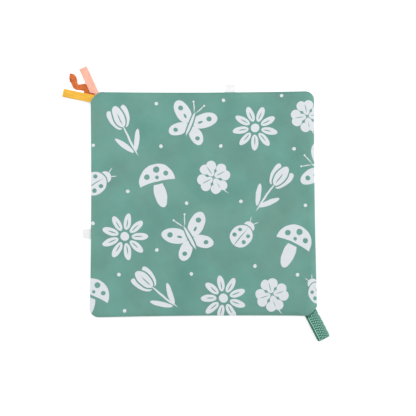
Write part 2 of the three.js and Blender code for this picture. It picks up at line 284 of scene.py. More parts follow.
class PanelSettings(bpy.types.PropertyGroup):
    cover: PointerProperty(type=CoverSettings)
    film: PointerProperty(type=FilmSettings)
    ribbon: PointerProperty(type=RibbonSettings)
    trim: PointerProperty(type=TrimSettings)
    webbing: PointerProperty(type=WebbingSettings)
    label: PointerProperty(type=LabelSettings)
    stage: PointerProperty(type=StageSettings)


class Value:
    """A socket that gives a number, colour or vector over a surface. Numbers can be used in expressions."""

    def __init__(self, nodes, socket):
        self.nodes = nodes
        self.socket = socket

    def math(self, operation, *others, clamp=False):
        sockets = dict(enumerate((self, *others)))
        return self.nodes.value("Math", sockets, operation=operation, use_clamp=clamp)

    def __add__(self, other):
        return self.math("ADD", other)

    def __sub__(self, other):
        return self.math("SUBTRACT", other)

    def __rsub__(self, other):
        return self.math("MULTIPLY_ADD", -1.0, other)

    def __mul__(self, other):
        return self.math("MULTIPLY", other)

    def __lt__(self, other):
        return self.math("LESS_THAN", other)

    def __abs__(self):
        return self.math("ABSOLUTE")

    __radd__ = __add__
    __rmul__ = __mul__

    def held(self, gain, lift):
        """gain times this plus lift, held between 0 and 1."""
        return self.math("MULTIPLY_ADD", gain, lift, clamp=True)


def larger(first, *others):
    for other in others:
        first = first.math("MAXIMUM", other)
    return first


def wave(run, pitch):
    """A sine that is 0 at each multiple of the pitch."""
    return (run * (math.pi / pitch)).math("SINE")


class Nodes:
    """The node tree of a material or a world."""

    def __init__(self, owner):
        owner.use_nodes = True
        self.tree = owner.node_tree
        self.tree.nodes.clear()

    def node(self, kind, sockets=None, **settings):
        """A new shader node: its settings first, then the values or links of its sockets."""
        node = self.tree.nodes.new(f"ShaderNode{kind}")
        for key, setting in settings.items():
            setattr(node, key, setting)
        for key, given in (sockets or {}).items():
            if isinstance(given, Value):
                self.tree.links.new(given.socket, node.inputs[key])
            else:
                node.inputs[key].default_value = given
        return node

    def value(self, kind, sockets=None, output=0, **settings):
        return Value(self, self.node(kind, sockets, **settings).outputs[output])


class Finish(Nodes):
    """A material with one principled shader."""

    def __init__(self, name, constants):
        self.material = bpy.data.materials.new(name)
        super().__init__(self.material)
        self.shader = self.node("BsdfPrincipled", constants)
        self.node("OutputMaterial", {"Surface": Value(self, self.shader.outputs["BSDF"])})

    def feed(self, socket, value):
        self.tree.links.new(value.socket, self.shader.inputs[socket])

    def surface(self, colour, roughness, height, distance, strength):
        """The material, given its colour, its roughness and its fine relief."""
        self.feed("Base Color", colour)
        self.feed("Roughness", roughness)
        sockets = {"Height": height, "Distance": distance, "Strength": strength}
        self.feed("Normal", self.value("Bump", sockets, "Normal"))
        return self.material

    def mix(self, factor, first, second, way="MIX"):
        """Colour between two colours."""
        first, second = (c if isinstance(c, Value) else (*c[:3], 1.0) for c in (first, second))
        sockets = {0: factor, 6: first, 7: second}
        return self.value("Mix", sockets, 2, data_type="RGBA", blend_type=way)

    def shade(self, colour, brightness):
        """A colour made lighter or darker by a number."""
        grey = self.value("CombineColor", {0: brightness, 1: brightness, 2: brightness})
        return self.mix(1.0, colour, grey, "MULTIPLY")

    def noise(self, place, scale, detail=2.0, roughness=0.5, output=0):
        sockets = {"Vector": place, "Scale": scale, "Detail": detail, "Roughness": roughness}
        return self.value("TexNoise", sockets, output)

    def parts(self, vector):
        node = self.node("SeparateXYZ", {0: vector})
        return [Value(self, output) for output in node.outputs]

    def vector(self, x, y):
        return self.value("CombineXYZ", {0: x, 1: y})

    def vector_math(self, operation, *terms, output=0):
        return self.value("VectorMath", dict(enumerate(terms)), output, operation=operation)

    def length(self, vector):
        return self.vector_math("LENGTH", vector, output="Value")

    def local(self, vector, centre, turn, scale):
        """A vector seen from a centre, in a plane that is turned by degrees and scaled."""
        sockets = {
            "Vector": vector,
            "Location": (*centre, 0),
            "Rotation": (0, 0, math.radians(turn)),
            "Scale": scale,
        }
        return self.value("Mapping", sockets, vector_type="TEXTURE")

    def place(self):
        """Place on the object, in metres."""
        return self.value("TexCoord", output="Object")

    def tape(self):
        """Place on a tape, in metres: along it and across it from its middle."""
        return self.parts(self.value("UVMap", uv_map="tape"))[:2]

    def attribute(self, name):
        return self.value("Attribute", output="Fac", attribute_name=name)


def plain_weave(across, along, pitch):
    """Height of a plain weave, from 0 between the threads to 1 on top of them."""
    warp = wave(across, pitch)
    weft = wave(along, pitch)
    over = warp * weft
    return larger(abs(warp) * (1 + over), abs(weft) * (1 - over)) * 0.5


class Motif:
    """Shapes in one motif's own plane, in units of about half its height. Each is 1 inside and 0 outside."""

    def __init__(self, finish, plane, unit):
        self.finish = finish
        self.plane = plane
        self.soft = INK_SOFTNESS / unit
        self.x, self.y, _ = finish.parts(plane)
        self.mirrored = finish.vector(abs(self.x), self.y)

    def oval(self, centre, reach, turn=0, plane=None):
        steep = min(reach) / self.soft
        local = self.finish.local(plane or self.plane, centre, turn, (*reach, 1))
        return self.finish.length(local).held(-steep, steep + 0.5)

    def disc(self, centre, radius, plane=None):
        return self.oval(centre, (radius, radius), 0, plane)

    def ovals(self, centre, reach, turn):
        """An oval on the right and its mirror image on the left."""
        return self.oval(centre, reach, turn, self.mirrored)

    def discs(self, centre, radius):
        return self.disc(centre, radius, self.mirrored)

    def above(self, height):
        return height.held(1 / self.soft, 0.5)

    def bent(self, bend):
        """The plane with its upright bent to one side."""
        return self.finish.vector(self.x - self.y * self.y * bend, self.y)

    def petals(self, count, turn=0):
        """The plane folded into one of several like sectors about the middle, with x outwards."""
        angle = self.y.math("ARCTAN2", self.x) + math.radians(turn)
        sector = ((angle * (count / math.tau)).math("FRACT") - 0.5) * (math.tau / count)
        far = self.finish.length(self.plane)
        return self.finish.vector(far * sector.math("COSINE"), far * abs(sector.math("SINE")))


def without(shape, hole):
    return shape * (1 - hole)


def daisy(motif):
    petal = motif.petals(9)
    slit = motif.oval((0.56, 0), (0.17, 0.022), 0, petal)
    ring = without(motif.oval((0.64, 0), (0.35, 0.155), 0, petal), slit)
    return larger(ring, motif.disc((0, 0), 0.19))


def tulip(motif):
    middle = without(motif.oval((0, 0.52), (0.19, 0.40)), motif.oval((0, 0.42), (0.018, 0.20)))
    outer = without(motif.ovals((0.20, 0.46), (0.16, 0.40), -15), motif.oval((0, 0.52), (0.24, 0.45)))
    leaf = motif.ovals((0.235, -0.50), (0.09, 0.40), -30)
    stem = motif.oval((0, -0.40), (0.035, 0.58), 0, motif.bent(0.06))
    return larger(middle, outer, leaf, stem)


def butterfly(motif):
    upper = motif.ovals((0.47, 0.33), (0.50, 0.29), 38)
    lower = motif.ovals((0.37, -0.36), (0.40, 0.24), -42)
    small = motif.ovals((0.33, 0.20), (0.10, 0.045), 38)
    spots = larger(motif.discs((0.60, 0.44), 0.10), motif.discs((0.46, -0.44), 0.085), small)
    wings = without(without(larger(upper, lower), spots), motif.oval((0, 0), (0.11, 0.66)))
    body = motif.oval((0, 0), (0.055, 0.48))
    feeler = motif.ovals((0.14, 0.68), (0.02, 0.21), -26)
    return larger(wings, body, feeler, motif.discs((0.235, 0.87), 0.04))


def toadstool(motif):
    brim = motif.y + motif.x * motif.x * 0.14 - 0.10
    cap = motif.oval((0, 0.10), (0.74, 0.72)) * motif.above(brim)
    places = [(-0.37, 0.37, 0.12), (0.07, 0.58, 0.13), (0.42, 0.35, 0.10), (0.02, 0.26, 0.075)]
    spots = larger(*[motif.disc((x, y), radius) for x, y, radius in places])
    stem = motif.oval((0, -0.40), (0.25, 0.60)) * motif.above(-0.02 - motif.y)
    return larger(without(cap, spots), stem)


def clover(motif):
    leaf = motif.petals(4, 45)
    heart = larger(motif.disc((0.55, 0.185), 0.25, leaf), motif.oval((0.37, 0), (0.30, 0.19), 0, leaf))
    stem = motif.oval((0, -0.52), (0.035, 0.50), 0, motif.bent(0.22))
    return larger(without(heart, motif.oval((0.40, 0), (0.20, 0.02), 0, leaf)), stem)


def ladybird(motif):
    split = motif.oval((0, -0.28), (0.024, 0.60))
    spots = larger(motif.discs((0.28, 0.12), 0.105), motif.discs((0.32, -0.28), 0.115))
    wing_cases = without(without(motif.oval((0, -0.12), (0.58, 0.64)), split), spots)
    head = without(motif.oval((0, 0.55), (0.31, 0.27)), motif.oval((0, -0.12), (0.64, 0.70)))
    feeler = motif.ovals((0.17, 0.90), (0.022, 0.15), -28)
    return larger(wing_cases, head, feeler)


def speck(motif):
    return motif.disc((0, 0), 1)


# Each motif's prints: place and unit in millimetres, with the turn in degrees between them
SPECK_UNIT = 2.4
SPECKS = [
    (-62, 134), (28, 138), (106, 144), (-146, 78), (-56, 76), (24, 76), (122, 72), (-100, 16), (-22, 0),
    (50, 2), (136, -4), (-62, -62), (68, -84), (-112, -94), (-16, -94), (-104, -142), (124, -96), (-146, -26),
]
PRINTS = [
    (daisy, [(70, 100, 8, 30.5), (-104, -44, 20, 31.5), (26, -126, 0, 30.5)]),
    (tulip, [(-104, 98, 24, 38), (92, 20, -38, 37.5), (-64, -114, 48, 37.5)]),
    (butterfly, [(-16, 106, -22, 34), (-18, -46, 28, 35), (160, 46, 70, 32.5)]),
    (toadstool, [(-60, 26, 14, 32.5), (118, -56, -24, 32.5), (-148, -124, -20, 30.5)]),
    (clover, [(140, 116, 10, 26.5), (14, 34, 30, 27), (90, -122, 15, 26.5)]),
    (ladybird, [(-142, 28, -60, 26.5), (52, -42, -40, 24.5), (150, -118, 30, 22)]),
    (speck, [(x, y, 0, SPECK_UNIT) for x, y in SPECKS]),
]


def nearest_plane(finish, place, prints):
    """The plane of whichever print is nearest, in that print's own size and turn."""
    plane = None
    for x, y, turn, unit in prints:
        local = finish.local(place, (x * MM, y * MM), turn, (unit * MM,) * 3)
        far = finish.length(local)
        if plane is None:
            plane = local
            least = far
            continue
        plane = finish.value("Mix", {0: far < least, 4: plane, 5: local}, 1, data_type="VECTOR")
        least = least.math("MINIMUM", far)
    return plane


def printed(finish, place):
    """1 where the cloth is printed, 0 on its ground."""
    wobble = finish.noise(place, 60.0, 1.0, output="Color")
    shift = finish.vector_math("SUBTRACT", wobble, (0.5, 0.5, 0.5))
    drawn = finish.vector_math("MULTIPLY_ADD", shift, (INK_WOBBLE, INK_WOBBLE, 0.0), place)
    masks = []
    for draw, prints in PRINTS:
        unit = min(each[3] for each in prints) * MM
        masks.append(draw(Motif(finish, nearest_plane(finish, drawn, prints), unit)))
    return larger(*masks)


def nap(sheen, sheen_roughness, specular):
    """What a cloth's shader has all over."""
    return {"Sheen Weight": sheen, "Sheen Roughness": sheen_roughness, "Specular IOR Level": specular}


def cloth_finish(name, settings, has_print):
    """Dyed plain-weave cloth with a soft nap, with a painted highlight along its rolled left and right edges,
    stronger at the right, and painted shade along its rolled top and bottom edges.
    """
    finish = Finish(name, nap(0.25, 0.45, 0.25))
    x, y, _ = finish.parts(finish.place())
    flat = finish.vector(x, y)
    weave = plain_weave(x, y, settings.thread)
    broad = finish.noise(flat, 22.0, 3.0)
    faded = finish.noise(flat, 15.0, 3.0).held(3.0, -1.0)
    grain = finish.noise(flat, 900.0, 2.0, 0.7)
    edge_light_and_shade = finish.attribute("painted_edge_lighting")
    # The edge attribute adds a painted highlight along the left and right edges, stronger at the right, and
    # painted shade along the top and bottom edges
    tone = 0.56 + weave * 0.11 + broad * 0.52 + grain * 0.23 + edge_light_and_shade * 0.06
    colour = finish.shade(finish.mix(faded, settings.ground, settings.faded), tone)
    if has_print:
        ink = printed(finish, flat)
        paper = finish.shade(settings.ink, 0.87 + weave * 0.07 + grain * 0.12)
        colour = finish.mix(ink * (0.93 + weave * 0.07), colour, paper)
    roughness = 0.86 - weave * 0.10 + grain * 0.10 - edge_light_and_shade * 0.08
    return finish.surface(colour, roughness, weave + grain * 0.8, 0.06 * MM, 0.7)


def film_finish(settings):
    """Clear plastic film with creases that scatter the light."""
    finish = Finish("crinkle film", {"IOR": 1.5})
    crease = finish.noise(finish.place(), 160.0, 4.0, 0.65)
    finish.feed("Alpha", 0.45 + crease * 0.3)
    colour = finish.shade(settings.tint, 0.82 + crease * 0.3)
    return finish.surface(colour, 0.12 + crease * 0.22, crease, 0.2 * MM, 0.5)


def ribbon_finish(name, colour, width):
    """Satin ribbon: fine lengthwise threads, a soft lustre along them, and woven edges."""
    finish = Finish(name, nap(0.08, 0.35, 0.3))
    along, across = finish.tape()
    threads = abs(wave(across, 0.28 * MM))
    picks = abs(wave(along, 0.42 * MM))
    streak = finish.noise(finish.vector(along * 45, across * 800), 1.0, 3.0, 0.65)
    broad = finish.noise(finish.vector(along, across), 120.0, 2.0)
    edge = (abs(across) * (2 / width)).held(14.0, -12.6)
    tone = 0.52 + threads * 0.04 + streak * 0.54 + broad * 0.40 - edge * picks * 0.14
    height = threads * 0.5 + picks * (0.2 + edge * 0.8) + streak * 0.4
    roughness = 0.46 + streak * 0.14 + edge * 0.15
    return finish.surface(finish.shade(colour, tone), roughness, height, 0.05 * MM, 0.8)


def trim_finish(settings, width):
    """Braided trim: strands that cross in chevrons, with looped edges."""
    finish = Finish("rust braid", nap(0.2, 0.4, 0.3))
    along, across = finish.tape()
    strands = abs(wave(along + abs(across) * 0.9, settings.braid))
    fibre = finish.noise(finish.vector(along * 900, across * 900), 1.0, 2.0, 0.7)
    broad = finish.noise(finish.vector(along, across), 320.0, 1.0)
    outer = abs(across) * (2 / width)
    middle = outer.held(-9.0, 1.0)
    # Painted shade along the middle groove and along both edges of the braid
    tone = 0.30 + strands * 0.34 + fibre * 0.24 + broad * 0.84 - middle * 0.16 - outer.held(5.0, -3.9) * 0.18
    height = strands + fibre * 0.5 - middle * 0.6
    roughness = 0.78 - strands * 0.12 + fibre * 0.1
    return finish.surface(finish.shade(settings.rust, tone), roughness, height, 0.12 * MM, 0.9)


def webbing_finish(settings, width, length):
    """Heavy herringbone webbing with painted shade between its ribs and at its mouth, a painted lighter left
    half, a painted highlight along the left edge of its upper ply and painted shade along that edge of its
    lower ply.
    """
    finish = Finish("herringbone yarn", nap(0.2, 0.5, 0.25))
    along, across = finish.tape()
    fibre = finish.noise(finish.vector(along * 500, across * 1600), 1.0, 3.0, 0.7)
    twist = abs(wave(along + across * 0.6, 0.45 * MM))
    # Painted highlight along the left selvedge of the upper ply, painted shade along it on the lower ply,
    # which lies in the loop's shadow, and a painted lighter left half
    painted_edge_lighting = (across * (-2 / width)).held(12.0, -10.0)
    painted_left_light = (across * (2 / width)).held(-2.0, 0.7)
    under = along.held(-50 / length, 25.0)
    tone = 0.76 + fibre * 0.26 + twist * 0.08 + painted_left_light * 0.30 + painted_edge_lighting * (0.55 - under * 1.05)
    # Colour of the painted shade between the ribs and at the mouth
    dark = tuple(channel * share for channel, share in zip(settings.yarn, (0.12, 0.26, 0.20)))
    colour = finish.mix(finish.attribute("painted_shade"), finish.shade(settings.yarn, tone), dark)
    return finish.surface(colour, 0.74 + fibre * 0.16, twist * 0.6 + fibre, 0.08 * MM, 0.8)


def label_finish(settings):
    """White woven satin, left bare."""
    finish = Finish("label satin", nap(0.15, 0.35, 0.4))
    along, across = finish.tape()
    weave = plain_weave(across, along, 0.3 * MM)
    streak = finish.noise(finish.vector(along * 80, across * 2000), 1.0, 2.0, 0.6)
    colour = finish.shade(settings.white, 0.92 + weave * 0.04 + streak * 0.08)
    return finish.surface(colour, 0.48 + streak * 0.14, weave + streak * 0.5, 0.04 * MM, 0.7)


def thread_finish(colour):
    """Two-ply sewing thread."""
    finish = Finish("sewing thread", nap(0.15, 0.5, 0.35))
    place = finish.place()
    x, y, z = finish.parts(place)
    ply = abs(wave(x + y + z * 2, 0.16 * MM))
    fibre = finish.noise(place, 3000.0, 2.0)
    colour = finish.shade(colour, 0.66 + ply * 0.2 + fibre * 0.2)
    return finish.surface(colour, 0.6 + fibre * 0.2, ply, 0.04 * MM, 0.6)


def smoothstep(value, low, high):
    share = np.clip((np.asarray(value) - low) / (high - low), 0, 1)
    return share * share * (3 - 2 * share)


def soft_waves(seed, count, shortest, longest):
    """A smooth random field over x and y, between about -1 and 1."""
    draw = np.random.default_rng(seed)
    turns = draw.uniform(0, math.tau, count)
    lengths = draw.uniform(shortest, longest, count)
    phases = draw.uniform(0, math.tau, count)

    def field(x, y):
        total = np.zeros(np.shape(x))
        for turn, length, phase in zip(turns, lengths, phases):
            run = x * math.cos(turn) + y * math.sin(turn)
            total = total + np.sin(math.tau * run / length + phase)
        return np.clip(total / math.sqrt(2 * count), -1, 1)

    return field


gathers = soft_waves(11, 14, 9 * MM, 30 * MM)
sways = soft_waves(5, 9, 38 * MM, 95 * MM)
creases = soft_waves(23, 16, 12 * MM, 32 * MM)


def vertex_normals(points, quads):
    """Normals of a sheet of quads, turned the way the quads are wound."""
    a, b, c, d = (points[quads[:, i]] for i in range(4))
    across = np.cross(c - a, d - b)
    normals = np.zeros_like(points)
    for i in range(4):
        np.add.at(normals, quads[:, i], across)
    return normals / np.linalg.norm(normals, axis=1, keepdims=True)


def rim_edges(quads):
    """Edges with a quad on one side only, in that quad's direction."""
    edges = np.concatenate([quads[:, [i, (i + 1) % 4]] for i in range(4)])
    _, first, uses = np.unique(np.sort(edges, axis=1), axis=0, return_index=True, return_counts=True)
    return edges[first[uses == 1]]


def strip_quads(rows, columns, start=0):
    """Quads of a strip of points stored row after row."""
    at = start + np.arange(rows * columns).reshape(rows, columns)
    return np.stack([at[:-1, :-1], at[1:, :-1], at[1:, 1:], at[:-1, 1:]], axis=-1).reshape(-1, 4)


def new_piece(name, points, faces, material):
    mesh = bpy.data.meshes.new(name)
    mesh.from_pydata(points.tolist(), [], faces.tolist())
    mesh.shade_smooth()
    mesh.set_sharp_from_angle(angle=SHARP_EDGE)
    mesh.materials.append(material)
    piece = bpy.data.objects.new(name, mesh)
    bpy.context.scene.collection.objects.link(piece)
    return piece


def shell(name, points, quads, above, below, material, tape=None, marks=None):
    """A closed thin piece from a sheet of quads: a skin above it, a skin below it and a rim round its edges.
    tape holds each point's place along and across a tape, and marks holds named numbers for each point."""
    normals = vertex_normals(points, quads)
    count = len(points)
    skins = np.concatenate([
        points + normals * np.reshape(above, (-1, 1)),
        points - normals * np.reshape(below, (-1, 1)),
    ])
    rim = rim_edges(quads)
    sides = np.stack([rim[:, 1], rim[:, 0], rim[:, 0] + count, rim[:, 1] + count], axis=1)
    faces = np.concatenate([quads, quads[:, ::-1] + count, sides])
    piece = new_piece(name, skins, faces, material)
    mesh = piece.data
    if tape is not None:
        corners = np.zeros(len(mesh.loops), np.int32)
        mesh.loops.foreach_get("vertex_index", corners)
        layer = mesh.uv_layers.new(name="tape")
        layer.uv.foreach_set("vector", np.tile(tape, (2, 1))[corners].astype(np.float32).ravel())
    for key, values in (marks or {}).items():
        layer = mesh.attributes.new(key, "FLOAT", "POINT")
        layer.data.foreach_set("value", np.tile(values, 2).astype(np.float32))
    return piece


class SeamOpening:
    """A stretch of the seam that is held open by the tags that are sewn into it."""

    def __init__(self, joint, half_width, half_height):
        self.place = FLEX[joint]
        self.half_width = half_width
        self.half_height = half_height

    def share(self, edge):
        """1 at the opening, 0 a little way off, for points of the outline."""
        away = edge - self.place.point[:2]
        aside = np.abs(away @ self.place.sideways[:2])
        near = 1 - smoothstep(np.abs(away @ self.place.outwards[:2]), *OPENING_DEPTH)
        return near * (1 - smoothstep(aside, self.half_width, self.half_width + OPENING_FADE))


OPENINGS = [
    SeamOpening("corner_tags_flex", 10.5 * MM, CORNER_STACK),
    SeamOpening("webbing_flex", 10.5 * MM, WEBBING_PAIR),
    SeamOpening("left_label_flex", 6.5 * MM, LABEL_PAIR),
    SeamOpening("top_label_flex", 6.5 * MM, LABEL_PAIR),
]


def opened_share(edge):
    return np.max([opening.share(edge) for opening in OPENINGS], axis=0)


def seam_half(edge):
    """Half the distance between the covers where they are sewn, for points of the outline."""
    halves = [CLOSED_SEAM + (o.half_height - CLOSED_SEAM) * o.share(edge) for o in OPENINGS]
    return np.max(halves, axis=0)


def edge_points(across, up):
    """Points of the panel's outline in the direction of points on the edge of the square from -1 to 1."""
    upright = np.abs(across) > np.abs(up)
    along = HALF * np.where(upright, up, across)
    tagged = np.sign(across) * np.sign(up) < 0
    reach = np.where(tagged, TAG_CORNER, PLAIN_CORNER)
    fullness = np.where(tagged, TAG_FULLNESS, PLAIN_FULLNESS)
    turned = 0.5 * np.clip((np.abs(along) - (HALF - reach)) / reach, 0, 1)
    weights = np.stack([(1 - turned) ** 2, 2 * fullness * turned * (1 - turned), turned**2])
    weights = weights / weights.sum(axis=0)
    run = np.where(turned > 0, np.sign(along) * (HALF - weights[0] * reach), along)
    out = HALF - weights[2] * reach
    x = np.where(upright, np.sign(across) * out, run)
    y = np.where(upright, run, np.sign(up) * out)
    straight = HALF - PLAIN_CORNER

    def pull(place):
        return 1 - (DRAW_IN / HALF) * np.maximum(0, 1 - (place / straight) ** 2)

    return np.stack([x * pull(y), y * pull(x)], axis=-1)


def inside(edge, inset):
    """Points at a distance inside points of the outline, towards the panel's middle."""
    return edge * (1 - np.reshape(inset, (-1, 1)) / HALF)


def grid_levels():
    """Grid lines from -1 to 1, closer together near the edge."""
    insets = [ROLL]
    step = GRID_FIRST_STEP
    while insets[-1] + 1.5 * step < HALF:
        insets.append(insets[-1] + step)
        step = min(step * GRID_GROWTH, GRID_LAST_STEP)
    outer = 1 - np.array(insets) / HALF
    return np.concatenate([-outer, [0.0], outer[::-1]])


class PanelGrid:
    """A square grid over the panel: the edge's point outwards from each point, and the distance inside."""

    def __init__(self):
        levels = grid_levels()
        count = len(levels)
        across, up = (part.ravel() for part in np.meshgrid(levels, levels))
        share = np.maximum(np.abs(across), np.abs(up))
        middle = share == 0
        scale = np.where(middle, 1, share)
        self.edge = edge_points(np.where(middle, 1, across / scale), np.where(middle, 0, up / scale))
        self.inset = HALF * (1 - share)
        self.quads = strip_quads(count, count)[:, ::-1]
        at = np.arange(count**2).reshape(count, count)
        self.border = np.concatenate([at[0, :-1], at[:-1, -1], at[-1, :0:-1], at[:0:-1, 0]])


GRID = PanelGrid()


def cover_rise(settings, side, edge, inset):
    """Height of a cover's outer face from the seam."""
    plan = inside(edge, inset)
    opened = opened_share(edge)
    gather = np.exp(-inset / GATHER_RUN) * (0.5 + 0.5 * gathers(*edge.T)) * (1 - 0.5 * opened)
    sway = smoothstep(inset, *SWAY_START) * sways(*plan.T)
    if side < 0:
        return SEAM_Z - BACK_LIFT * (settings.sway * np.maximum(sway, 0) + settings.pucker * gather)
    ridge = smoothstep(inset, *RIDGE_RISE) * (1 - smoothstep(inset, *RIDGE_END))
    ridge = ridge * (0.7 + 0.3 * creases(*plan.T) + 0.6 * opened)
    one_sided = 0.7 + 0.45 * edge[:, 0] / HALF
    fall = settings.fall * one_sided * (1 - opened) * np.clip(1 - inset / FALL_RUN, 0, 1) ** 2
    relief = settings.ridge * ridge + settings.pucker * gather + settings.sway * sway - fall
    return SEAM_Z + CROWN * np.sin(math.pi / 2 * np.minimum(1, inset / CROWN_RUN)) + relief


def painted_edge_shading(edge, inset):
    """How much painted highlight the cloth has along its left and right edges, more at the right, and below 0
    how much painted shade it has along the other two."""
    beside = smoothstep(np.abs(edge[:, 0]), *BESIDE)
    painted_edge_lighting = (1.1 + 0.8 * edge[:, 0] / HALF) * np.clip(1 - inset / EDGE_LIGHT_RUN, 0, 1) ** 1.5
    painted_edge_shade = 1.1 * np.clip(1 - inset / EDGE_SHADE_RUN, 0, 1)
    return beside * painted_edge_lighting - (1 - beside) * painted_edge_shade


def cover_piece(name, side, settings, material):
    """One cover: its face, the rolled edge and the turned-in hem. side is 1 in front and -1 behind."""
    rise = cover_rise(settings, side, GRID.edge, GRID.inset)
    edge = GRID.edge[GRID.border]
    high = rise[GRID.border]
    low = seam_half(edge)
    turns = math.pi * (0.5 - np.arange(1, ROLL_STEPS + 1) / ROLL_STEPS)
    profile = [(ROLL * (1 - math.cos(t)), 0.5 + 0.5 * math.sin(t)) for t in turns]
    profile += [(inset, 0.0) for inset in HEM_RINGS]
    blocks = [np.column_stack([inside(GRID.edge, GRID.inset), SEAM_Z + side * rise])]
    rings = [GRID.border]
    for i, (inset, share) in enumerate(profile):
        blocks.append(np.column_stack([inside(edge, inset), SEAM_Z + side * (low + (high - low) * share)]))
        rings.append(len(rise) + i * len(edge) + np.arange(len(edge)))
    quads = [GRID.quads]
    for outer, inner in zip(rings[:-1], rings[1:]):
        quads.append(np.stack([outer, inner, np.roll(inner, -1), np.roll(outer, -1)], axis=1))
    faces = np.concatenate(quads)[:, ::side]
    # Painted highlight and shade along the edges, kept as an attribute for the cloth's finish
    edge_light_marks = [painted_edge_shading(GRID.edge, GRID.inset), np.tile(painted_edge_shading(edge, 0), len(profile))]
    marks = {"painted_edge_lighting": np.concatenate(edge_light_marks)}
    return shell(name, np.concatenate(blocks), faces, 0.0, settings.cloth, material, marks=marks)


def film_piece(name, side, cover, settings, material):
    """One crinkle film, which follows its cover inside and stops short of the sewn-in tags."""
    least = FILM_INSET + FILM_CLEARING * smoothstep(opened_share(GRID.edge), 0.0, 0.3)
    inset = least + GRID.inset * (1 - least / HALF)
    plan = inside(GRID.edge, inset)
    folds = creases(*plan.T) + 0.6 * np.abs(gathers(*plan.T)) - 0.3
    depth = FILM_DEPTH + settings.crumple * np.clip(folds, -1, 1)
    points = np.column_stack([plan, SEAM_Z + side * (cover_rise(cover, side, GRID.edge, inset) - depth)])
    return shell(name, points, GRID.quads[:, ::side], settings.film / 2, settings.film / 2, material)


def thread_piece(material):
    """The seam's stitches: short rungs from cover to cover in the crease between their rolled edges."""
    run = np.linspace(-1, 1, OUTLINE_POINTS)
    ones = np.ones_like(run)
    sides = [(run, -ones), (ones, run), (-run, ones), (-ones, -run)]
    edge = inside(np.concatenate([edge_points(across, up)[:-1] for across, up in sides]), RUNG_DEPTH)
    length = np.concatenate([[0], np.cumsum(np.linalg.norm(np.diff(edge, axis=0), axis=1))])
    places = np.arange(RUNG_PITCH, length[-1] - RUNG_PITCH / 2, RUNG_PITCH)

    def on_edge(distance):
        return np.column_stack([np.interp(distance, length, edge[:, i]) for i in (0, 1)])

    at = on_edge(places)
    closed = opened_share(at) < RUNG_FREE
    at = at[closed]
    ahead = on_edge(places + 0.4 * MM)[closed] - at
    along = ahead / np.linalg.norm(ahead, axis=1, keepdims=True)
    out = np.stack([along[:, 1], -along[:, 0]], axis=1)
    ring = np.arange(RUNG_SIDES)
    angle = ring[:, None] * math.tau / RUNG_SIDES
    height, thick = np.array(RUNG_LEVELS).T
    middles = at[:, None] + height[:, None] * RUNG_LEAN * MM * along[:, None]
    around = np.cos(angle) * along[:, None] + np.sin(angle) * out[:, None]
    plan = middles[:, :, None] + RUNG_RADIUS * thick[:, None, None] * around[:, None]
    z = np.broadcast_to((SEAM_Z + height * MM)[:, None, None], (*plan.shape[:3], 1))
    points = np.concatenate([plan, z], axis=-1).reshape(-1, 3)

    ahead_ring = np.roll(ring, -1)
    wall = np.stack([ring, ahead_ring, ahead_ring + RUNG_SIDES, ring + RUNG_SIDES], axis=1)
    top = RUNG_SIDES * (len(RUNG_LEVELS) - 1)
    walls = [wall + low for low in range(0, top, RUNG_SIDES)]
    lid = np.array([[0, 1, 2, 3], [0, 3, 4, 5]])
    rung = np.concatenate([*walls, lid[:, ::-1], lid + top])
    starts = np.arange(len(at)) * (top + RUNG_SIDES)
    return new_piece("seam_thread", points, (starts[:, None, None] + rung).reshape(-1, 4), material)


def folded(x, low, apart, tip_points):
    """The middle line of a tape that is folded back at its tip, from its lower end to its upper one: distance
    out from the flex line, height above it, and distance along the tape."""
    radius = apart[-1] / 2
    angles = np.linspace(-math.pi / 2, math.pi / 2, tip_points)[1:-1]
    out = np.concatenate([x, x[-1] + radius * np.cos(angles), x[::-1]])
    z = np.concatenate([low, low[-1] + radius * (1 + np.sin(angles)), (low + apart)[::-1]])
    return out, z, np.concatenate([[0], np.cumsum(np.hypot(np.diff(out), np.diff(z)))])


class Tag:
    """Shape of a folded tag, as in the CAD model, in millimetres and degrees. settle and opening are the
    stretches, as shares of its length, over which it comes down to the surface and over which its plies part.
    wave holds the length, height, first crest and start of a wavy tag's waves."""

    def __init__(self, width, tape, length, fold, settle, opening, angle=0.0, wave=None):
        self.width = width * MM
        self.tape = tape * MM
        self.length = length * MM
        self.turn = (length - fold) * MM
        self.fold = fold * MM
        self.settle = settle
        self.opening = opening
        self.angle = angle
        self.slope = math.tan(math.radians(angle))
        self.lean = math.cos(math.radians(angle))
        self.wave = wave

    def sideways(self, x):
        """Sideways place of the tag's middle at a distance from its root."""
        if self.wave is None:
            return np.zeros_like(x)
        length, height, crest, start = (size * MM for size in self.wave)
        return height * np.cos(math.tau * (x - crest) / length) * smoothstep(x, 0, start)

    def heading(self, x):
        """Parts of the tape's heading in plan, out and sideways."""
        step = 0.1 * MM
        slope = (self.sideways(x + step) - self.sideways(x - step)) / (2 * step)
        return 1 / np.sqrt(1 + slope**2), slope / np.sqrt(1 + slope**2)

    def path(self, start, height, step):
        """The folded tape's middle line. The surface under the panel is height below the flex line."""
        x = np.linspace(start, self.turn, max(8, round((self.turn - start) / step)))
        rest = REST_GAP - height + self.tape / 2
        root = (self.tape + TAPE_GAP) / 2
        low = -root + (rest + root) * smoothstep(x / self.length, *self.settle)
        wide = 2 * self.fold - self.tape
        apart = 2 * root + (wide - 2 * root) * smoothstep(x / self.length, *self.opening)
        return folded(x, low, apart, max(TIP_POINTS, round(math.pi * apart[-1] / 2 / step)))


PINK_RIBBON = Tag(10.5, 0.25, 35.2, 1.3, (0.42, 0.85), (0.1, 0.8), angle=-20.3)
YELLOW_RIBBON = Tag(10.5, 0.25, 30.9, 1.3, (0.08, 0.6), (0.1, 0.8), angle=32.6)
RUST_TRIM = Tag(7.5, 0.25, 42.2, 1.2, (0, 0.15), (0.5, 0.95), angle=5.9, wave=(23.5, 3.55, 2.9, 12.5))
WEBBING = Tag(15, 1.1, 36, 3.4, (0, 0.22), (0.06, 0.36), angle=-18.5)
LABEL = Tag(12, 0.25, 10.5, 0.25, (0, 0.85), (0, 1))


